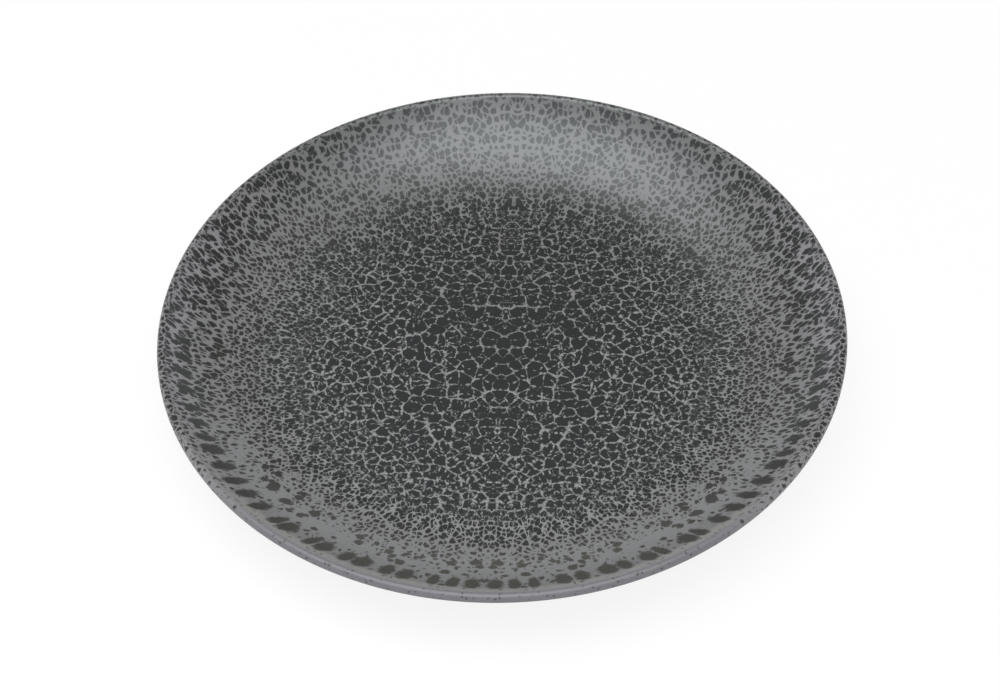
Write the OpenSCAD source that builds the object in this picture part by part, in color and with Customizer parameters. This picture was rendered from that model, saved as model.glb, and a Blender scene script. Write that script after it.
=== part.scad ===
// Coupe dinner plate: a rimless stoneware plate whose floor runs into a curved wall and a round lip.
// Every piece is turned about the plate's axis from one profile of straight lines and tangent arcs.
// Millimetres, +Z up. The origin is the centre of the foot ring, on the table.

/* [Plate] */
// Diameter over the lip
plate_d = 280; // [240:1:310]
// Height from the table to the crest of the lip
plate_h = 32; // [26:0.5:38]
// Thickness of the round lip
lip_t = 4.2; // [3:0.1:5.5]

/* [Well] */
// Diameter of the flat floor, where the wall starts to curve up
floor_d = 164; // [130:1:190]
// Thickness of the floor, glaze on both sides included
floor_t = 5.2; // [4:0.1:7.5]

/* [Foot ring] */
// Outer diameter at the table
foot_d = 154; // [120:1:184]
// Width of the bearing face at the table, before its edges are rounded
foot_w = 3.4; // [2.4:0.1:5]
// Height of the glazed underside above the table
foot_h = 2.8; // [2.4:0.1:4]
// Lean of the ring's two sides, in degrees from upright
foot_draft = 12; // [0:1:20]
// Rounding of the two bearing edges
foot_edge_r = 0.5; // [0.2:0.1:0.6]
// Fillet where the ring grows out of the underside
foot_root_r = 1.2; // [0.8:0.1:1.4]
// Least width of level underside between that fillet and the curve of the back
foot_shelf = 1; // [0.5:0.1:4]

/* [Glaze] */
// Thickness of the fired glaze coats
glaze_t = 0.4; // [0.2:0.05:0.5]
// Height on the ring's sides where the wiped glaze ends and bare clay starts
glaze_end_z = 1; // [0.8:0.1:1.1]

/* [Smoothness] */
// Largest gap between a curve and the short straight lines that make it up
arc_sag = 0.005; // [0.002:0.001:0.02]

/* [Hidden] */

rim_r = plate_d / 2;
lip_r = lip_t / 2;
floor_r = floor_d / 2;
floor_z = foot_h + floor_t;
under_z = foot_h;
foot_out_r = foot_d / 2;
foot_in_r = foot_out_r - foot_w;

// Centre of the fillet at the foot ring's root: its height, and its distance from the ring's sharp corner
root_z = under_z + glaze_t - foot_root_r;
root_x = (foot_root_r + root_z * sin(foot_draft)) / cos(foot_draft);

// Centre of the round lip
lip_c = [rim_r - lip_r, plate_h - lip_r];

// The face's arc leaves the floor level at floor_r and touches the lip's circle from above.
face_run = lip_c.x - floor_r;
face_rise = lip_c.y - floor_z;
face_arc_r = (face_run ^ 2 + face_rise ^ 2 - lip_r ^ 2) / (2 * (face_rise + lip_r));
face_arc_c = [floor_r, floor_z + face_arc_r];
face_arc_end = bearing(face_arc_c, lip_c);

// The back's arc leaves the underside level where both the floor and the foot ring have ended,
// and it holds the lip's circle inside it.
back_start_r = max(floor_r, foot_out_r + root_x + foot_shelf);
back_run = lip_c.x - back_start_r;
back_rise = lip_c.y - under_z;
back_arc_r = (back_run ^ 2 + back_rise ^ 2 - lip_r ^ 2) / (2 * (back_rise - lip_r));
back_arc_c = [back_start_r, under_z + back_arc_r];
back_arc_end = bearing(back_arc_c, lip_c);

// Angle of the line from one point to another
function bearing(from, to) = atan2(to.y - from.y, to.x - from.x);

// Points of an arc from angle a to angle b, both ends included
function arc(centre, r, a, b) =
    let (turn = 2 * acos(1 - arc_sag / r),
         steps = max(1, ceil(abs(b - a) / turn)))
    [for (i = [0 : steps]) let (t = a + (b - a) * i / steps) centre + r * [cos(t), sin(t)]];

function reverse(points) = [for (i = [len(points) - 1 : -1 : 0]) points[i]];

// The lines below lie on the glazed surface at depth 0, and on the clay at depth glaze_t.

// Floor, wall and lip, from the axis to where the lip meets the back
function face_line(depth) = concat(
    [[0, floor_z - depth]],
    arc(face_arc_c, face_arc_r + depth, -90, face_arc_end),
    arc(lip_c, lip_r - depth, face_arc_end + 180, back_arc_end));

// Back of the wall, from the lip down to the level of the underside
function back_arc_line(depth) = arc(back_arc_c, back_arc_r - depth, back_arc_end, -90);

// One side of the foot ring, from the underside to the end of the glaze.
// side is 1 on the ring's outside and -1 on its inside, and edge_r is the sharp corner's radius.
function foot_side_line(edge_r, side, depth) =
    let (skin = glaze_t - depth,
         root = arc([root_x, root_z], foot_root_r - skin, 90, 180 - foot_draft),
         outward = [cos(foot_draft), -sin(foot_draft)],
         end = glaze_end_z * [tan(foot_draft), 1] + skin * outward)
    [for (p = concat(root, [end])) [edge_r + side * p.x, p.y]];

// Rounded bearing edge of the bare ring, from its side to the table
function foot_edge_line(edge_r, side) =
    let (inset = foot_edge_r * (1 - sin(foot_draft)) / cos(foot_draft),
         edge = arc([-inset, foot_edge_r], foot_edge_r, -foot_draft, -90))
    [for (p = edge) [edge_r + side * p.x, p.y]];

// A coat of glaze: the stretch between a line on its surface and the same line on the clay
module coat(surface, clay) {
    rotate_extrude() polygon(concat(surface, reverse(clay)));
}

// Pressed and fired clay with its foot ring, bare only where the ring meets the table
module stoneware_body() {
    color("tan") rotate_extrude() polygon(concat(
        face_line(glaze_t),
        back_arc_line(glaze_t),
        foot_side_line(foot_out_r, 1, glaze_t),
        foot_edge_line(foot_out_r, 1),
        reverse(foot_edge_line(foot_in_r, -1)),
        reverse(foot_side_line(foot_in_r, -1, glaze_t)),
        [[0, under_z + glaze_t]]));
}

// Mottled glaze on the eating face, carried over the lip
module face_glaze() {
    color("dimgray") coat(face_line(0), face_line(glaze_t));
}

// Plain glaze on the back, from the lip to the outside of the foot ring
module back_glaze() {
    function line(depth) = concat(back_arc_line(depth), foot_side_line(foot_out_r, 1, depth));
    color("gray") coat(line(0), line(glaze_t));
}

// Plain glaze on the base inside the foot ring
module base_glaze() {
    function line(depth) = concat([[0, under_z + depth]], foot_side_line(foot_in_r, -1, depth));
    color("gray") coat(line(0), line(glaze_t));
}

stoneware_body();
face_glaze();
back_glaze();
base_glaze();
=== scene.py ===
import math

import bpy
from mathutils import Matrix, Vector


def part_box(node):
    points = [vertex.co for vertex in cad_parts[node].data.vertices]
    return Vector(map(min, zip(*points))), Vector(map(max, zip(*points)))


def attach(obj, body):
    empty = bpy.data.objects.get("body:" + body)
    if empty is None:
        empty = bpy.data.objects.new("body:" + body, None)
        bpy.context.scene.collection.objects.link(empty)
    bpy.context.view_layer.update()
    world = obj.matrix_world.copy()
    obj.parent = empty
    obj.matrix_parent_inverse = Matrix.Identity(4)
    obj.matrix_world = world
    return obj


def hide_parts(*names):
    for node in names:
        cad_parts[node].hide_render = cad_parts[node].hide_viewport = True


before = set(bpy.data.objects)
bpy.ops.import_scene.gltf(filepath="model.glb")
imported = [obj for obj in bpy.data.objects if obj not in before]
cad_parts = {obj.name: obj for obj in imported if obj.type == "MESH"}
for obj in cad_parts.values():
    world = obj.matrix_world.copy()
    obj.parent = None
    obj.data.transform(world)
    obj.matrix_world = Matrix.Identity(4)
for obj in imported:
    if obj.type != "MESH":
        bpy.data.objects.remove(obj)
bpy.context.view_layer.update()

MM = 0.001

# Smoothness of the turned meshes
SEGMENTS = 384          # flat sides of each turned piece
WALL_STEPS = 48         # straight lines in each arc of the section
LIP_STEPS = 32
ROOT_STEPS = 8
EDGE_STEPS = 6
LONGEST_RUN = 6.0       # mm, straight runs of an outline are divided below this length
AXIS_R = 1e-6           # mm, a point nearer to the axis than this lies on it
SHARP_ANGLE = math.radians(35)      # faces that meet at a larger angle have a sharp edge between them

# Sizes of the plate's section in millimetres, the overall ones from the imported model
face_low, face_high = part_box("face_glaze")
base_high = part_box("base_glaze")[1]
GLAZE_T = 0.4
LIP_R = 2.1
FLOOR_R = 82.0
RIM_R = face_high.x / MM
CREST_Z = face_high.z / MM
FLOOR_Z = face_low.z / MM + GLAZE_T
UNDER_Z = base_high.z / MM - GLAZE_T
FOOT_OUT_R = 77.0
FOOT_IN_R = 73.6
FOOT_EDGE_R = 0.5
FOOT_ROOT_R = 1.2
FOOT_DRAFT = math.radians(12)
GLAZE_END_Z = 1.0

# The wiped edge of the glaze strays from its level in waves
WIPE_WAVER = 0.14       # mm, how far it strays at most
WIPE_WAVES = ((7, 1.0, 1), (17, 0.7, 2), (41, 0.5, 0))      # count round the ring, height, share of the phase
OUTER_PHASE = 0.4
INNER_PHASE = 1.9

# The photograph's view: angles of the camera about the centre of the lip's crest, and its distance
VIEW_AZIMUTH = math.radians(4.488)
VIEW_ELEVATION = math.radians(46.888)
VIEW_ROLL = math.radians(-1.951)
VIEW_DISTANCE = 1000.0
VIEW_SIDE = -0.88       # mm from the crest's centre to the point in the middle of the picture
VIEW_FORWARD = -16.07
SENSOR = 36.0           # mm
LENS = 88.53


# Section of the plate

def arc(centre, radius, start, end, steps):
    """Points of an arc from one angle to another, both ends included."""
    angles = [start + (end - start) * i / steps for i in range(steps + 1)]
    return [(centre[0] + radius * math.cos(a), centre[1] + radius * math.sin(a)) for a in angles]


LIP_C = (RIM_R - LIP_R, CREST_Z - LIP_R)


def wall_arc(start_z, touch):
    """Centre, radius and end angle of the arc that leaves the level start_z at FLOOR_R and touches the lip.
    touch is 1 for the face, which passes outside the lip's circle, and -1 for the back, which holds it."""
    run = LIP_C[0] - FLOOR_R
    rise = LIP_C[1] - start_z
    radius = (run ** 2 + rise ** 2 - LIP_R ** 2) / (2 * (rise + touch * LIP_R))
    centre = (FLOOR_R, start_z + radius)
    return centre, radius, math.atan2(LIP_C[1] - centre[1], LIP_C[0] - centre[0])


FACE_ARC_C, FACE_ARC_R, FACE_ARC_END = wall_arc(FLOOR_Z, 1)
BACK_ARC_C, BACK_ARC_R, BACK_ARC_END = wall_arc(UNDER_Z, -1)


def face_line(depth):
    """The eating face from the axis over the lip, at a depth below the glazed surface."""
    wall = arc(FACE_ARC_C, FACE_ARC_R + depth, -math.pi / 2, FACE_ARC_END, WALL_STEPS)
    lip = arc(LIP_C, LIP_R - depth, FACE_ARC_END + math.pi, BACK_ARC_END, LIP_STEPS)
    return [(0.0, FLOOR_Z - depth)] + wall + lip[1:]


def back_line(depth):
    """The back of the wall, from the lip down to the level of the underside."""
    return arc(BACK_ARC_C, BACK_ARC_R - depth, BACK_ARC_END, -math.pi / 2, WALL_STEPS)


def foot_side(edge_r, side, depth, end_z):
    """One side of the foot ring from the underside to the end of the glaze; side is 1 outside, -1 inside."""
    skin = GLAZE_T - depth
    root_z = UNDER_Z + GLAZE_T - FOOT_ROOT_R
    root_x = (FOOT_ROOT_R + root_z * math.sin(FOOT_DRAFT)) / math.cos(FOOT_DRAFT)
    root = arc((root_x, root_z), FOOT_ROOT_R - skin, math.pi / 2, math.pi - FOOT_DRAFT, ROOT_STEPS)
    end = (end_z * math.tan(FOOT_DRAFT) + skin * math.cos(FOOT_DRAFT), end_z - skin * math.sin(FOOT_DRAFT))
    return [(edge_r + side * x, z) for x, z in root + [end]]


def foot_edge(edge_r, side):
    """The rounded bearing edge of the bare ring, from its side to the table."""
    inset = FOOT_EDGE_R * (1 - math.sin(FOOT_DRAFT)) / math.cos(FOOT_DRAFT)
    edge = arc((-inset, FOOT_EDGE_R), FOOT_EDGE_R, -FOOT_DRAFT, -math.pi / 2, EDGE_STEPS)
    return [(edge_r + side * x, z) for x, z in edge]


def wiped_end(angle, phase):
    """Height where the wiped glaze ends, which strays a little round the ring."""
    waver = sum(height * math.sin(count * angle + share * phase) for count, height, share in WIPE_WAVES)
    return GLAZE_END_Z + WIPE_WAVER * waver / sum(height for count, height, share in WIPE_WAVES)


# Outlines: the line that shows and the line that is hidden, each at one angle round the axis

def face_outline(angle):
    return face_line(0), face_line(GLAZE_T)[::-1]


def back_outline(angle):
    end = wiped_end(angle, OUTER_PHASE)
    shown = back_line(0) + foot_side(FOOT_OUT_R, 1, 0, end)
    hidden = back_line(GLAZE_T) + foot_side(FOOT_OUT_R, 1, GLAZE_T, end)
    return shown, hidden[::-1]


def base_outline(angle):
    end = wiped_end(angle, INNER_PHASE)
    shown = [(0.0, UNDER_Z)] + foot_side(FOOT_IN_R, -1, 0, end)
    hidden = [(0.0, UNDER_Z + GLAZE_T)] + foot_side(FOOT_IN_R, -1, GLAZE_T, end)
    return shown[::-1], hidden


def body_outline(angle):
    outer = foot_side(FOOT_OUT_R, 1, GLAZE_T, GLAZE_END_Z)
    inner = foot_side(FOOT_IN_R, -1, GLAZE_T, GLAZE_END_Z)
    shown = outer[-2:] + foot_edge(FOOT_OUT_R, 1) + foot_edge(FOOT_IN_R, -1)[::-1] + inner[-2:][::-1]
    top = face_line(GLAZE_T) + back_line(GLAZE_T)[1:] + outer[:-2]
    return shown, inner[:-2][::-1] + [(0.0, UNDER_Z + GLAZE_T)] + top


def divided(line):
    """The line with its long straight runs divided."""
    points = [line[0]]
    for (r0, z0), (r1, z1) in zip(line, line[1:]):
        steps = max(1, math.ceil(math.hypot(r1 - r0, z1 - z0) / LONGEST_RUN))
        points += [(r0 + (r1 - r0) * i / steps, z0 + (z1 - z0) * i / steps) for i in range(1, steps + 1)]
    return points


# Places in the texture square: each shown skin is a disc or ring about the middle
UV_CENTRE = (0.5, 0.5)
UV_EDGE = 0.485         # radius of the shown skin's outer edge
UV_RING_IN = 0.3        # inner radius of the bare ring
UV_BACK_IN = 0.2        # inner radius of the back
UV_HIDDEN_R = 0.055     # radius of the hidden skin's disc, in a corner that the shown one leaves free
UV_HIDDEN_C = (0.06, 0.06)


def uv_radii(line, start, end):
    """A radius in the texture square for each point, by its distance along the line."""
    lengths = [0.0]
    for (r0, z0), (r1, z1) in zip(line, line[1:]):
        lengths.append(lengths[-1] + math.hypot(r1 - r0, z1 - z0))
    return [start + (end - start) * s / lengths[-1] for s in lengths]


def turned(name, outline, uv_ends):
    """A closed mesh turned about the axis; uv_ends are the texture radii at the ends of the shown line."""
    rings = []
    for i in range(SEGMENTS):
        angle = 2 * math.pi * i / SEGMENTS
        shown, hidden = outline(angle)
        rings.append((angle, divided(shown), divided(hidden)))
    shown_count = len(rings[0][1])
    section = rings[0][1] + rings[0][2]
    count = len(section)
    radii = uv_radii(rings[0][1], *uv_ends) + uv_radii(rings[0][2], 0.0, UV_HIDDEN_R)

    verts = []
    index = []
    for k, (r, z) in enumerate(section):
        if r < AXIS_R:
            index.append([len(verts)] * SEGMENTS)
            verts.append((0.0, 0.0, z * MM))
            continue
        index.append(list(range(len(verts), len(verts) + SEGMENTS)))
        for angle, shown, hidden in rings:
            radius, height = (shown + hidden)[k]
            verts.append((radius * MM * math.cos(angle), radius * MM * math.sin(angle), height * MM))

    def corner(k, j, in_shown):
        centre = UV_CENTRE if in_shown else UV_HIDDEN_C
        angle = 2 * math.pi * j / SEGMENTS
        return centre[0] + radii[k] * math.cos(angle), centre[1] + radii[k] * math.sin(angle)

    faces = []
    uvs = []
    for k in range(count):
        n = (k + 1) % count
        if section[k][0] < AXIS_R and section[n][0] < AXIS_R:
            continue
        in_shown = 0 < n < shown_count
        for j in range(SEGMENTS):
            ends = [(k, j), (n, j), (n, j + 1), (k, j + 1)]
            if section[k][0] < AXIS_R:
                ends = [(k, j), (n, j), (n, j + 1)]
            elif section[n][0] < AXIS_R:
                ends = [(k, j), (n, j), (k, j + 1)]
            faces.append([index[a][b % SEGMENTS] for a, b in ends])
            uvs += [corner(a, b, in_shown) for a, b in ends]

    mesh = bpy.data.meshes.new(name)
    mesh.from_pydata(verts, [], faces)
    layer = mesh.uv_layers.new(name="OFBake")
    layer.data.foreach_set("uv", [value for uv in uvs for value in uv])
    mesh.polygons.foreach_set("use_smooth", [True] * len(faces))
    mesh.set_sharp_from_angle(angle=SHARP_ANGLE)
    mesh.validate()
    piece = bpy.data.objects.new(name, mesh)
    bpy.context.scene.collection.objects.link(piece)
    return piece


# Materials

class Wire:
    """A value in a material's node tree. Sums with wires and numbers add the nodes that work them out."""

    def __init__(self, tree, socket):
        self.tree = tree
        self.socket = socket

    def __add__(self, other):
        return calc(self.tree, "ADD", self, other)

    def __sub__(self, other):
        return calc(self.tree, "SUBTRACT", self, other)

    def __rsub__(self, other):
        return calc(self.tree, "SUBTRACT", other, self)

    def __mul__(self, other):
        return calc(self.tree, "MULTIPLY", self, other)

    def __truediv__(self, other):
        return calc(self.tree, "DIVIDE", self, other)

    __radd__ = __add__
    __rmul__ = __mul__


def feed(tree, socket, value):
    """Links a wire to a socket, or sets the socket to a plain value."""
    if isinstance(value, Wire):
        tree.links.new(value.socket, socket)
    else:
        socket.default_value = value


def calc(tree, operation, *values):
    node = tree.nodes.new("ShaderNodeMath")
    node.operation = operation
    for socket, value in zip(node.inputs, values):
        feed(tree, socket, value)
    return Wire(tree, node.outputs[0])


# Sockets of a mix node that hold colours
MIX_FIRST = 6
MIX_SECOND = 7
MIX_RESULT = 2


class Paint:
    """A material under construction, with lengths in millimetres in the plate's frame."""

    def __init__(self, name):
        self.material = bpy.data.materials.new(name)
        self.material.use_nodes = True
        self.tree = self.material.node_tree
        self.shader = self.tree.nodes["Principled BSDF"]
        coordinates = self.tree.nodes.new("ShaderNodeTexCoord")
        scaled = self.tree.nodes.new("ShaderNodeVectorMath")
        scaled.operation = "SCALE"
        scaled.inputs["Scale"].default_value = 1 / MM
        self.tree.links.new(coordinates.outputs["Object"], scaled.inputs[0])
        self.place = Wire(self.tree, scaled.outputs[0])

    def math(self, operation, *values):
        return calc(self.tree, operation, *values)

    def larger(self, first, second):
        return self.math("MAXIMUM", first, second)

    def lesser(self, first, second):
        return self.math("MINIMUM", first, second)

    def split(self, vector):
        node = self.tree.nodes.new("ShaderNodeSeparateXYZ")
        feed(self.tree, node.inputs[0], vector)
        return [Wire(self.tree, output) for output in node.outputs]

    def vector(self, *parts):
        node = self.tree.nodes.new("ShaderNodeCombineXYZ")
        for socket, value in zip(node.inputs, parts):
            feed(self.tree, socket, value)
        return Wire(self.tree, node.outputs[0])

    def noise_node(self, vector, size, detail):
        node = self.tree.nodes.new("ShaderNodeTexNoise")
        feed(self.tree, node.inputs["Vector"], vector)
        node.inputs["Scale"].default_value = 1 / size
        node.inputs["Detail"].default_value = detail
        return node

    def noise(self, vector, size, detail=0.0):
        """Smooth noise from 0 to 1 with features of that size."""
        return Wire(self.tree, self.noise_node(vector, size, detail).outputs["Fac"])

    def swing(self, vector, size, detail):
        """The same noise about 0."""
        return self.noise(vector, size, detail) - 0.5

    def strayed(self, vector, by, size, detail=0.0):
        """The vector moved at random, up to about half of by, in steps of that size."""
        node = self.noise_node(vector, size, detail)
        move = self.tree.nodes.new("ShaderNodeVectorMath")
        move.operation = "MULTIPLY_ADD"
        self.tree.links.new(node.outputs["Color"], move.inputs[0])
        move.inputs[1].default_value = (by, by, by)
        feed(self.tree, move.inputs[2], vector)
        return Wire(self.tree, move.outputs[0])

    def cell_node(self, vector, size, feature, dimensions, disorder):
        node = self.tree.nodes.new("ShaderNodeTexVoronoi")
        node.voronoi_dimensions = dimensions
        node.feature = feature
        feed(self.tree, node.inputs["W" if dimensions == "1D" else "Vector"], vector)
        node.inputs["Scale"].default_value = 1 / size
        node.inputs["Randomness"].default_value = disorder
        return node

    def cell_edge(self, vector, size, dimensions="2D"):
        """The distance to the edge of the cell that a place lies in, in cells of that size."""
        node = self.cell_node(vector, size, "DISTANCE_TO_EDGE", dimensions, 1.0)
        return Wire(self.tree, node.outputs["Distance"]) * size

    def cell_centre(self, vector, size, dimensions="2D", disorder=1.0):
        """The distance to the cell's centre, and a random number from 0 to 1 for each cell."""
        node = self.cell_node(vector, size, "F1", dimensions, disorder)
        red = self.tree.nodes.new("ShaderNodeSeparateColor")
        self.tree.links.new(node.outputs["Color"], red.inputs[0])
        return Wire(self.tree, node.outputs["Distance"]) * size, Wire(self.tree, red.outputs[0])

    def knot(self, vector, size):
        """How far a place lies past half a cell's size from its centre, as it does where three cells meet."""
        far = self.cell_centre(vector, size)[0]
        return self.larger(far / size - 0.5, 0.0)

    def step(self, value, low, high):
        """A soft step from 0 at low to 1 at high."""
        node = self.tree.nodes.new("ShaderNodeMapRange")
        node.interpolation_type = "SMOOTHSTEP"
        feed(self.tree, node.inputs["Value"], value)
        feed(self.tree, node.inputs["From Min"], low)
        feed(self.tree, node.inputs["From Max"], high)
        return Wire(self.tree, node.outputs[0])

    def graph(self, value, points, span):
        """A value read off a line through the points, whose first numbers run from 0 to span."""
        node = self.tree.nodes.new("ShaderNodeValToRGB")
        feed(self.tree, node.inputs[0], value / span)
        stops = node.color_ramp.elements
        while len(stops) < len(points):
            stops.new(0.5)
        for stop, (at, level) in zip(stops, points):
            stop.position = at / span
            stop.color = grey(level)
        return Wire(self.tree, node.outputs[0])

    def mix(self, share, first, second):
        """A colour between two colours."""
        node = self.tree.nodes.new("ShaderNodeMix")
        node.data_type = "RGBA"
        feed(self.tree, node.inputs["Factor"], share)
        feed(self.tree, node.inputs[MIX_FIRST], first)
        feed(self.tree, node.inputs[MIX_SECOND], second)
        return Wire(self.tree, node.outputs[MIX_RESULT])

    def finish(self, colour, roughness, relief, height):
        """Sets the shader's colour and roughness and a relief of that height in millimetres."""
        feed(self.tree, self.shader.inputs["Base Color"], colour)
        feed(self.tree, self.shader.inputs["Roughness"], roughness)
        bump = self.tree.nodes.new("ShaderNodeBump")
        bump.inputs["Distance"].default_value = height * MM
        feed(self.tree, bump.inputs["Height"], relief)
        self.tree.links.new(bump.outputs["Normal"], self.shader.inputs["Normal"])
        return self.material


def grey(level, tint=(1.0, 1.0, 1.0)):
    return tuple(level * t for t in tint) + (1.0,)


# Sizes of the mottled glaze: lengths in millimetres, angles in radians from the front.
# A zone is a pair: the radius or angle where a look has not set in, and the one where it has done so fully.
# A bend is how far places stray, in features of what size, and with how much detail.

SOFT = 0.2              # half of the soft edge between the dark glaze and the ground
FRAY = 0.5              # size of the frays on the edges of spots, and their detail
FRAY_DETAIL = 2.0
BULGE = 1.3             # size of the bulges along a vein
PATCH_DETAIL = 1.0      # detail of the bulges and of the patches below
FRONT = (1.5, 0.6)      # angles
LIP_FRONT = (1.2, 0.6)
BACK = (1.8, 2.7)
WALL = (78.0, 92.0)     # radii

# Floor
SHRINK = 1.5            # power of the radius by which the floor's cells shrink away from the centre
CELL = 48.0             # cell size in the floor's own plane, about 5.8 at radius 30 and 3.6 at radius 80
FLOOR_BEND = (0.7 * CELL, 1.2 * CELL)
FLOOR_RAGS = (0.2 * CELL, 0.3 * CELL, 1.5)
FLOOR_GAP = 0.34 * CELL     # size of the gaps in the veins
MIDDLE_CELL = 5.0       # cell size about the centre
MIDDLE_BEND = (3.0, 8.0)
MIDDLE_RAGS = (0.9, 1.6, 1.5)
MIDDLE_GAP = 1.8
MIDDLE_R = 25.0         # radius where the cells of the centre give way to those of the floor
MIDDLE_FADE = 8.0       # width of that change
MIDDLE_LOSS = 0.5       # width that the centre's veins lose beyond it, and the floor's veins within it
FLOOR_LOSS = 0.6
FLOOR_END = (82.0, 90.0)    # radii where the floor's veins end
FLOOR_END_LOSS = 0.8
GAP_DETAIL = 2.0
GAP_LEVELS = (0.34, 0.7)    # levels of noise from a gap to a full vein
VEIN_W = 0.5            # width of a full vein
MIDDLE_THIN = 0.17      # width that all veins lose, at the centre and on the rest of the floor
FLOOR_THIN = 0.18
KNOT_W = 1.2            # width gained where three cells meet
BULGE_W = 1.3           # width gained or lost in bulges

# Small cells, beads and faint stretches on the floor
BRANCH_CELL = 0.5 * CELL
BRANCH_BEND = (0.1 * CELL, 0.3 * CELL)
BRANCH_PATCH = 0.6 * CELL
BRANCH_LEVELS = (0.56, 0.66)
BRANCH_OUT = (50.0, 88.0)   # radii towards which the small cells get more
BRANCH_MORE = 0.06
BRANCH_W = 0.5
BRANCH_THIN = 0.35
BEAD_CELL = 0.5 * CELL
BEAD_R = 0.9            # radius of the largest beads
BEAD_NEAR = (0.6, 0.3)  # distances from a vein, which carries the beads
FAINT_PATCH = 0.25 * CELL
FAINT_LEVELS = (0.6, 0.4)
FAINT = 0.35            # share of its light that a faint vein loses

# Wall
WALL_R = 105.0          # radius where the wall's cells have their size
WALL_CELL = 2.3         # width of the wall's cells there
WALL_BEND = (2.2, 3.5)
WALL_RAGS = (1.1, 0.8, 2.0)
WALL_DRAWN = 0.85       # the cells are longer towards the lip than they are wide, by 1 / 0.85
WALL_START = 90.0       # scaled radius from which the cells are counted
ROUND_R = 114.0         # radius past which they are drawn out further, other than at the back
LIP_DRAWN = 0.3
SIDE_START = (0.3, 0.9)     # angles of the sides, where the cells are finer
SIDE_END = (2.6, 2.0)
SIDE_FINER = 0.2
NARROW_FROM = 0.9       # angle past which the cells get narrower, and for how far
NARROW_SPAN = 1.4
NARROWER = 0.2
WALL_WIDTHS = ((78, 0.1), (84, 0.3), (93, 0.35), (100, 0.46), (110, 0.6), (120, 0.59), (132, 0.5))
WALL_THIN = 0.4         # width that all the veins of the graph above lose
CHANCE_W = 0.8          # width that differs from cell to cell
ROUND_FROM = 0.8        # distance from a cell's centre past which the veins widen, so that corners go
ROUND_W = 0.7
PATCH = 5.0             # size of patches with more or fewer spots
PATCH_W = 0.5           # width gained or lost in them, and how much more at the front
PATCH_FRONT_W = 1.2
FRONT_WIDTHS = (((74.0, 108.0), 0.24), ((112.0, 120.0), 0.4), ((129.0, 133.0), 0.3))
BACK_LIGHT = (2.0, 2.7)     # angles and radii at the back where the veins are wider
BACK_LIGHT_OUT = (98.0, 110.0)
BACK_W = 0.16
WALL_FRAY = 1.4
WALL_FRAY_OUT = (86.0, 102.0)

# Larger spots on the wall, and stains, which are the ones at the front between the wall's foot and the row
BLOT_CELL = 7.4         # mean distance of the larger spots
BLOT_GROWTH = 2.0       # their radius grows with their random number, from below 0
BLOT_LOSS = 0.8
BLOT_FRONT = (100.0, 108.0)
BLOT_FRONT_GAIN = 0.5
BLOT_END = (118.0, 122.0)
BLOT_END_LOSS = 3.0
BLOT_FRAY = 1.2
STAIN_TURN = (1.35, 0.9)
STAIN_START = (101.0, 110.0)
STAIN_END = (122.0, 119.0)
STAIN_W = 0.25          # width that the veins gain between stains
STAIN_CELL = 5.8
STAIN_BEND = (1.8, 1.4, 1.5)
STAIN_R = 0.2           # radius of the smallest, and how much more the largest have
STAIN_GROWTH = 2.3
STAIN_LOSS = 2.5        # radius lost outside their zone
STAIN_FRAY = 1.8

# Row of the largest spots, below the lip
ROW_R = 126.7
ROW_RISES = (((0.2, 0.8), 1.5), ((1.0, 1.4), 2.0))      # angles towards which the row lies further out
ROW_COUNT = 15.0        # spots in a radian
ROW_PHASE = 9.65        # shift of the row that leaves a gap at its middle
ROW_DISORDER = 0.45
ROW_HALF = 0.24         # half width of the narrowest spot as a share of the spacing, and the largest gain
ROW_GROWTH = 0.2
ROW_LENGTH = 5.4        # half length of a spot
ROW_WOBBLE = (0.3, 2.0)     # how far a spot strays along the row in shares of the spacing, and feature size
ROW_STRAY = (4.0, 1.5)      # the same across the row, in millimetres
ROW_SMALLER = (0.9, 1.4)    # angles towards which the spots get smaller, and then end
ROW_SMALLER_BY = 1.3
ROW_END = (1.45, 1.65)
ROW_END_LOSS = 2.0
ROW_EDGE = (0.6, 1.4)
ROW_FRAY = 1.8

# Lip
LIP_START_R = 135.5     # radius where the lip's own pattern starts at the front, and 1 mm less than elsewhere
LIP_START_FADE = 0.8
LIP_CELL = 2.6          # size of the spots on the lip
LIP_BEND = (1.2, 1.0, 1.0)
LIP_W = 0.26            # width of the light between them, and how much more at the back and the front
LIP_BACK_W = 0.2
LIP_FRONT_W = 0.8
LIP_FRAY = 1.2
SPECK_CELL = 1.8        # mean distance of the specks
SPECK_GROWTH = 1.1
SPECK_LOSS = 0.55
SPECK_FRAY = 0.5

# Colours of the dark glaze and of the ground, and painted shade and highlight on the ground
FLOOR_DARKS = (grey(0.022, (0.9, 1.02, 1.06)), grey(0.024, (1.0, 1.0, 0.92)))
FLOOR_CLOUD = 2 * CELL
WALL_DARK = grey(0.027, (1.03, 1.0, 0.88))
FRONT_DARK = grey(0.046, (1.04, 1.0, 0.84))
FRONT_DARK_TURN = (1.0, 0.4)
WALL_DARK_OUT = (90.0, 110.0)
SIDE_DARK = grey(0.022)
SIDE_DARK_OUT = (116.0, 130.0)
FLOOR_GROUND = grey(0.28)
WALL_GROUND = grey(0.2, (0.99, 1.0, 1.01))
WALL_GROUND_OUT = (75.0, 105.0)
SIDE_GROUND = grey(0.25, (1.0, 0.98, 1.02))
SIDE_GROUND_OUT = (122.0, 134.0)
# Painted shade: the ground is darker at the back, on the floor and more so on the wall
BACK_FLOOR_SHADED_GROUND = grey(0.23)
BACK_WALL_SHADED_GROUND = grey(0.15)
# Painted highlight: a lighter band of ground just inside the lip at the front
BELOW_LIP_HIGHLIGHT = grey(0.3, (1.02, 1.0, 0.98))
BELOW_LIP_HIGHLIGHT_OUT = (130.0, 133.5)
LIP_GROUND = grey(0.165, (0.99, 0.97, 1.06))
PAST_CREST = (136.0, 137.6)
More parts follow.
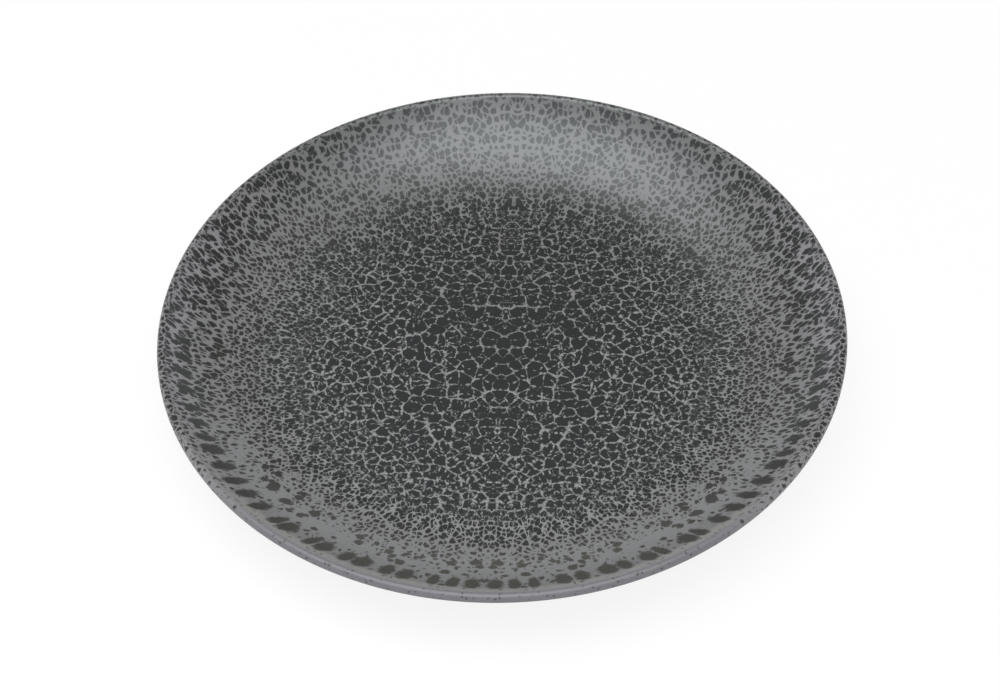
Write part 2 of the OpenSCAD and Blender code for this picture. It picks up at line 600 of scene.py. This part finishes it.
# Painted shade: darker glaze below the middle of the lip's outer face, where it turns under
UNDER_LIP_SHADE_GREY = grey(0.06)
UNDER_LIP_SHADE_SHARE = 0.8         # share of that painted shade below the lip's middle
UNDER_LIP_SHADE_Z = (LIP_C[1], LIP_C[1] - 0.5 * LIP_R)
UNDER_LIP_SHADE_OUT = (LIP_C[0], LIP_C[0] + 0.5)
GLAZE_IOR = 1.6
GLAZE_SHEEN = (0.9, 0.97, 1.0, 1.0)
GLAZE_ROUGHNESS = 0.36
LIP_ROUGHER = 0.1
GLAZE_RELIEF = 0.02


class Mottle(Paint):
    """The mottled glaze, with the places and zones that its layers share. Its two halves mirror each other."""

    def __init__(self):
        super().__init__("mottled_glaze")
        x, y, self.z = self.split(self.place)
        half = self.math("ABSOLUTE", x)
        self.radius = self.math("SQRT", x * x + y * y)
        self.turn = self.math("ARCTAN2", half, 0 - y)
        self.level = self.vector(half, y, 0.0)
        self.solid = self.vector(half, y, self.z)
        self.fray = self.swing(self.solid, FRAY, FRAY_DETAIL)
        self.bulge = self.swing(self.solid, BULGE, PATCH_DETAIL)
        self.front = self.towards(FRONT)
        self.lip_front = self.towards(LIP_FRONT)
        self.back = self.towards(BACK)
        self.on_wall = self.out(WALL)
        past_start = self.radius - LIP_START_R - (1 - self.lip_front)
        self.on_lip = self.step(past_start, -LIP_START_FADE, LIP_START_FADE)
        self.stained = self.towards(STAIN_TURN) * self.out(STAIN_START) * self.out(STAIN_END)

        # The floor's own plane, in which all its cells have one size
        growth = self.math("POWER", self.radius, SHRINK - 1)
        far = self.radius * growth
        angle = self.turn * SHRINK
        self.plane = self.vector(far * self.math("COSINE", angle), far * self.math("SINE", angle), 0.0)
        self.per_mm = growth * SHRINK

    def out(self, radii):
        """A zone by its radii."""
        return self.step(self.radius, *radii)

    def towards(self, angles):
        """A zone by its angles from the front."""
        return self.step(self.turn, *angles)

    def inside(self, distance):
        """1 where the distance is below 0, with a soft edge."""
        return self.step(distance, SOFT, -SOFT)

    def vein_width(self, gaps, knots, thin):
        """Width of the floor's veins, which have gaps, knots and bulges."""
        return self.step(gaps, *GAP_LEVELS) * VEIN_W - thin + knots * KNOT_W + self.bulge * BULGE_W

    def middle_veins(self):
        """Veins about the centre, where the cells of the floor's plane would be too large."""
        ragged = self.strayed(self.strayed(self.level, *MIDDLE_BEND), *MIDDLE_RAGS)
        gaps = self.noise(self.level, MIDDLE_GAP, GAP_DETAIL)
        width = self.vein_width(gaps, self.knot(ragged, MIDDLE_CELL), MIDDLE_THIN)
        width = width - self.out((MIDDLE_R, MIDDLE_R + MIDDLE_FADE)) * MIDDLE_LOSS
        return self.inside(self.cell_edge(ragged, MIDDLE_CELL) - width)

    def floor_veins(self):
        """All veins of the floor, with small cells, beads and faint stretches here and there."""
        bent = self.strayed(self.plane, *FLOOR_BEND)
        ragged = self.strayed(bent, *FLOOR_RAGS)
        edge = self.cell_edge(ragged, CELL) / self.per_mm
        gaps = self.noise(self.plane, FLOOR_GAP, GAP_DETAIL)
        in_middle = self.out((MIDDLE_R, MIDDLE_R - MIDDLE_FADE))
        off_wall = 1 - self.on_wall
        width = self.vein_width(gaps, self.knot(ragged, CELL), FLOOR_THIN)
        width = width - in_middle * FLOOR_LOSS - self.out(FLOOR_END) * FLOOR_END_LOSS
        veins = self.larger(self.middle_veins(), self.inside(edge - width))

        branch = self.cell_edge(self.strayed(bent, *BRANCH_BEND), BRANCH_CELL) / self.per_mm
        patches = self.noise(self.plane, BRANCH_PATCH, PATCH_DETAIL) + self.out(BRANCH_OUT) * BRANCH_MORE
        branches = self.step(patches, *BRANCH_LEVELS) * off_wall * (1 - in_middle)
        veins = self.larger(veins, self.inside(branch - branches * BRANCH_W + BRANCH_THIN))

        bead, chance = self.cell_centre(ragged, BEAD_CELL)
        beads = self.inside(bead / self.per_mm - chance * BEAD_R) * self.step(edge, *BEAD_NEAR) * off_wall
        faint_places = self.noise(self.plane, FAINT_PATCH, PATCH_DETAIL)
        faint = self.step(faint_places, *FAINT_LEVELS) * FAINT * off_wall
        return self.larger(veins * (1 - faint), beads)

    def wall_places(self):
        """The wall's own plane, in which its cells have one size."""
        at_side = self.towards(SIDE_START) * self.towards(SIDE_END)
        past = self.lesser(self.larger(self.turn - NARROW_FROM, 0.0), NARROW_SPAN)
        around = self.turn + past * NARROWER
        drawn_out = self.larger(self.radius - ROUND_R, 0.0) * (LIP_DRAWN - self.back * LIP_DRAWN)
        outward = self.radius * WALL_DRAWN - drawn_out - WALL_START
        return self.vector(around * WALL_R, outward * (at_side * SIDE_FINER + 1), 0.0)

    def wall_veins(self, wall, ragged):
        """The wall's veins, which widen until only spots are left between them."""
        centre, chance = self.cell_centre(ragged, WALL_CELL)
        rounded = self.larger(centre - ROUND_FROM, 0.0) * ROUND_W
        patches = self.swing(wall, PATCH, PATCH_DETAIL) * (self.front * PATCH_FRONT_W + PATCH_W)
        width = self.graph(self.radius, WALL_WIDTHS, RIM_R) - WALL_THIN
        width = width + ((chance - 0.5) * CHANCE_W + rounded + patches) * self.on_wall
        for radii, more in FRONT_WIDTHS:
            width = width + self.front * self.out(radii) * more
        width = width + self.stained * STAIN_W
        width = width + self.towards(BACK_LIGHT) * self.out(BACK_LIGHT_OUT) * BACK_W
        frayed = self.fray * WALL_FRAY * self.out(WALL_FRAY_OUT)
        return self.inside(self.cell_edge(ragged, WALL_CELL) - width - frayed)

    def blots(self, ragged):
        """Larger spots here and there on the wall, and the stains at the front."""
        blot, chance = self.cell_centre(ragged, BLOT_CELL)
        at_front = self.out(BLOT_FRONT) * BLOT_FRONT_GAIN - self.out(BLOT_END) * BLOT_END_LOSS
        blot_r = chance * BLOT_GROWTH - BLOT_LOSS + self.front * at_front
        blots = self.inside(blot - blot_r + self.fray * BLOT_FRAY) * self.on_wall
        stain, chance = self.cell_centre(self.strayed(self.level, *STAIN_BEND), STAIN_CELL)
        stain_r = chance * STAIN_GROWTH + STAIN_R - (1 - self.stained) * STAIN_LOSS
        return self.larger(blots, self.inside(stain - stain_r + self.fray * STAIN_FRAY))

    def row_light(self):
        """0 in the row of the largest spots below the lip, at the front and a little way round the sides."""
        wobble, wobble_size = ROW_WOBBLE
        stray, stray_size = ROW_STRAY
        row = self.turn * ROW_COUNT + ROW_PHASE + self.noise(self.solid, wobble_size, FRAY_DETAIL) * wobble
        across, chance = self.cell_centre(row, 1.0, "1D", ROW_DISORDER)
        across = across / (chance * ROW_GROWTH + ROW_HALF)
        row_r = ROW_R
        for angles, rise in ROW_RISES:
            row_r = row_r + self.towards(angles) * rise
        off_row = self.swing(self.solid, stray_size, FRAY_DETAIL) * stray
        along = (self.radius - row_r + off_row) / ROW_LENGTH
        smaller = self.towards(ROW_SMALLER) * ROW_SMALLER_BY + 1
        row_end = self.towards(ROW_END) * ROW_END_LOSS
        reach = (across * across + along * along) * smaller + row_end
        return self.step(reach + self.fray * ROW_FRAY, *ROW_EDGE)

    def lip_light(self):
        """0 in the lip's own spots, which shrink towards the front until only specks are left."""
        speck, chance = self.cell_centre(self.solid, SPECK_CELL, "3D")
        speck_r = chance * SPECK_GROWTH - SPECK_LOSS
        specks = self.inside(speck - speck_r + self.fray * SPECK_FRAY)
        edge = self.cell_edge(self.strayed(self.solid, *LIP_BEND), LIP_CELL, "3D")
        width = self.back * LIP_BACK_W + self.lip_front * LIP_FRONT_W + LIP_W
        return self.lesser(self.inside(edge - width - self.fray * LIP_FRAY), 1 - specks)

    def dark(self):
        """Colour of the dark glaze."""
        floor = self.mix(self.noise(self.plane, FLOOR_CLOUD), *FLOOR_DARKS)
        wall = self.mix(self.towards(FRONT_DARK_TURN), WALL_DARK, FRONT_DARK)
        dark = self.mix(self.out(WALL_DARK_OUT), floor, wall)
        return self.mix(self.out(SIDE_DARK_OUT) * (1 - self.front), dark, SIDE_DARK)

    def ground(self):
        """Colour of the light glaze, with painted shade at the back and below the lip's middle, and a painted
        highlight just inside the lip at the front.
        """
        ground = self.mix(self.out(WALL_GROUND_OUT), FLOOR_GROUND, WALL_GROUND)
        beside = (1 - self.front) * (1 - self.back) * self.out(SIDE_GROUND_OUT)
        ground = self.mix(beside, ground, SIDE_GROUND)
        # painted shade: a darker ground at the back
        painted_shade_behind = self.mix(self.out(WALL_GROUND_OUT), BACK_FLOOR_SHADED_GROUND, BACK_WALL_SHADED_GROUND)
        ground = self.mix(self.back, ground, painted_shade_behind)
        # painted highlight: a lighter band just inside the lip at the front
        ground = self.mix(self.lip_front * self.out(BELOW_LIP_HIGHLIGHT_OUT), ground, BELOW_LIP_HIGHLIGHT)
        ground = self.mix(self.lip_front * self.out(PAST_CREST), ground, LIP_GROUND)
        # painted shade below the lip's middle
        under_lip_shade = self.step(self.z, *UNDER_LIP_SHADE_Z) * self.out(UNDER_LIP_SHADE_OUT)
        return self.mix(under_lip_shade * UNDER_LIP_SHADE_SHARE, ground, UNDER_LIP_SHADE_GREY)


def mottled_glaze():
    """Charcoal cells in a light grey ground: large on the floor, with thin veins between them, finer towards
    the wall, where the veins widen until only spots are left. Larger spots lie among those, with a row of the
    largest below the lip, and the lip has small spots of its own."""
    paint = Mottle()
    wall = paint.wall_places()
    ragged = paint.strayed(paint.strayed(wall, *WALL_BEND), *WALL_RAGS)
    veins = paint.larger(paint.floor_veins(), paint.wall_veins(wall, ragged))
    light = paint.lesser(veins, 1 - paint.blots(ragged))
    light = paint.lesser(light, paint.row_light())
    light = light + (paint.lip_light() - light) * paint.on_lip
    colour = paint.mix(light, paint.dark(), paint.ground())
    paint.shader.inputs["IOR"].default_value = GLAZE_IOR
    paint.shader.inputs["Specular Tint"].default_value = GLAZE_SHEEN
    roughness = paint.on_lip * paint.lip_front * LIP_ROUGHER + GLAZE_ROUGHNESS
    return paint.finish(colour, roughness, light, GLAZE_RELIEF)


# Plain glaze: sizes in millimetres
CLOUD = 14.0
CLOUD_DETAIL = 3.0
CLOUD_GREYS = (grey(0.18), grey(0.22))
CLOUD_RELIEF = 0.03
FLECK_CELL = 4.0        # mean distance of the dark specks
FLECK_R = 0.5           # radius of the largest
FLECK_SOFT = 0.1
FLECK_GREY = grey(0.05)
PLAIN_ROUGHNESS = 0.42


def plain_glaze():
    """The ground colour alone, with a faint cloud and a few dark specks."""
    paint = Paint("plain_glaze")
    cloud = paint.noise(paint.place, CLOUD, CLOUD_DETAIL)
    fleck, chance = paint.cell_centre(paint.place, FLECK_CELL, "3D")
    speck = paint.step(fleck - chance * FLECK_R, FLECK_SOFT, -FLECK_SOFT)
    colour = paint.mix(speck, paint.mix(cloud, *CLOUD_GREYS), FLECK_GREY)
    return paint.finish(colour, PLAIN_ROUGHNESS, cloud, CLOUD_RELIEF)


# Bare clay: sizes in millimetres
GRAIN = 0.5
GRAIN_DETAIL = 3.0
GRAIN_LEVELS = (0.62, 0.74)     # levels of noise from clay to a dark grain
GRAIN_COLOUR = grey(0.2, (1.1, 0.9, 0.7))
GRAIN_RELIEF = 0.06
CLAY_CLOUD = 9.0
CLAY_DETAIL = 2.0
CLAY_COLOURS = (grey(0.42, (1.05, 0.92, 0.76)), grey(0.52, (1.02, 0.93, 0.8)))
CLAY_ROUGHNESS = 0.85


def bare_stoneware():
    """Fired clay without glaze, buff with darker grains and a slightly gritty face."""
    paint = Paint("stoneware")
    grain = paint.noise(paint.place, GRAIN, GRAIN_DETAIL)
    clay = paint.mix(paint.noise(paint.place, CLAY_CLOUD, CLAY_DETAIL), *CLAY_COLOURS)
    colour = paint.mix(paint.step(grain, *GRAIN_LEVELS), clay, GRAIN_COLOUR)
    return paint.finish(colour, CLAY_ROUGHNESS, grain, GRAIN_RELIEF)


# Pieces

def dress(name, node, outline, uv_ends, material):
    """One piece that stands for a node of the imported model."""
    piece = turned(name, outline, uv_ends)
    piece.data.materials.append(material)
    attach(piece, "root")
    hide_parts(node)


plain = plain_glaze()
dress("plate_clay", "stoneware_body", body_outline, (UV_RING_IN, UV_EDGE), bare_stoneware())
dress("plate_face", "face_glaze", face_outline, (0.0, UV_EDGE), mottled_glaze())
dress("plate_back", "back_glaze", back_outline, (UV_EDGE, UV_BACK_IN), plain)
dress("plate_base", "base_glaze", base_outline, (UV_EDGE, 0.0), plain)


# Stage, light and camera, in metres

FLOOR_SIZE = 8.0
FLOOR_PAPER = grey(0.9)
FLOOR_WHITE = 0.88      # share of plain white in what the camera and reflections see of the floor
HORIZON = (0.1, grey(1.0))      # height on the world's sphere, and colour
OVERHEAD = (0.4, grey(0.12))
SOFTBOX_PLACE = (-0.2, -0.38, 2.0)
SOFTBOX_WIDTH = 2.4
SOFTBOX_DEPTH = 1.55
SOFTBOX_WHITE = 4.5     # brightness of its face, where 1 is white


def make_floor():
    """A white floor that shows the plate's shadow."""
    bpy.ops.mesh.primitive_plane_add(size=FLOOR_SIZE, location=(0.0, 0.0, 0.0))
    floor = bpy.context.object
    floor.name = "floor"
    material = bpy.data.materials.new("white_floor")
    material.use_nodes = True
    tree = material.node_tree
    tree.nodes.clear()
    output = tree.nodes.new("ShaderNodeOutputMaterial")
    paper = tree.nodes.new("ShaderNodeBsdfDiffuse")
    paper.inputs["Color"].default_value = FLOOR_PAPER
    white = tree.nodes.new("ShaderNodeEmission")
    path = tree.nodes.new("ShaderNodeLightPath")
    seen = Wire(tree, path.outputs["Is Camera Ray"])
    for ray in ("Is Glossy Ray", "Is Transmission Ray"):
        seen = calc(tree, "MAXIMUM", seen, Wire(tree, path.outputs[ray]))
    mix = tree.nodes.new("ShaderNodeMixShader")
    feed(tree, mix.inputs[0], seen * FLOOR_WHITE)
    tree.links.new(paper.outputs[0], mix.inputs[1])
    tree.links.new(white.outputs[0], mix.inputs[2])
    tree.links.new(mix.outputs[0], output.inputs["Surface"])
    floor.data.materials.append(material)


def make_world():
    """A studio that is white near the horizon and dim above."""
    world = bpy.data.worlds.new("studio")
    bpy.context.scene.world = world
    world.use_nodes = True
    tree = world.node_tree
    background = tree.nodes["Background"]
    coordinates = tree.nodes.new("ShaderNodeTexCoord")
    split = tree.nodes.new("ShaderNodeSeparateXYZ")
    tree.links.new(coordinates.outputs["Generated"], split.inputs[0])
    ramp = tree.nodes.new("ShaderNodeValToRGB")
    tree.links.new(split.outputs["Z"], ramp.inputs[0])
    for stop, (position, colour) in zip(ramp.color_ramp.elements, (HORIZON, OVERHEAD)):
        stop.position = position
        stop.color = colour
    tree.links.new(ramp.outputs[0], background.inputs["Color"])


def make_softbox():
    """A rectangular lamp above the plate that faces it."""
    name = "overhead_softbox"
    lamp = bpy.data.lights.new(name, "AREA")
    lamp.shape = "RECTANGLE"
    lamp.size = SOFTBOX_WIDTH
    lamp.size_y = SOFTBOX_DEPTH
    lamp.energy = SOFTBOX_WHITE * math.pi * SOFTBOX_WIDTH * SOFTBOX_DEPTH
    softbox = bpy.data.objects.new(name, lamp)
    softbox.location = SOFTBOX_PLACE
    softbox.rotation_euler = (-Vector(SOFTBOX_PLACE)).to_track_quat("-Z", "Y").to_euler()
    bpy.context.scene.collection.objects.link(softbox)


def make_camera():
    """The photograph's camera, on its measured line of sight to the lip's crest."""
    cos_a, sin_a = math.cos(VIEW_AZIMUTH), math.sin(VIEW_AZIMUTH)
    cos_e, sin_e = math.cos(VIEW_ELEVATION), math.sin(VIEW_ELEVATION)
    crest = Vector((0.0, 0.0, CREST_Z))
    place = crest + VIEW_DISTANCE * Vector((cos_e * sin_a, -cos_e * cos_a, sin_e))
    aim = crest + VIEW_SIDE * Vector((cos_a, sin_a, 0.0)) + VIEW_FORWARD * Vector((-sin_a, cos_a, 0.0))
    back = (place - aim).normalized()
    right = Vector((0.0, 0.0, 1.0)).cross(back).normalized()
    up = back.cross(right)
    level = Matrix((right, up, back)).transposed()
    rolled = level @ Matrix.Rotation(VIEW_ROLL, 3, "Z")
    camera = bpy.data.objects.new("camera", bpy.data.cameras.new("camera"))
    camera.data.sensor_width = SENSOR
    camera.data.lens = LENS
    camera.matrix_world = Matrix.Translation(place * MM) @ rolled.to_4x4()
    bpy.context.scene.collection.objects.link(camera)
    bpy.context.scene.camera = camera


make_floor()
make_world()
make_softbox()
make_camera()
bpy.context.scene.view_settings.view_transform = "Standard"
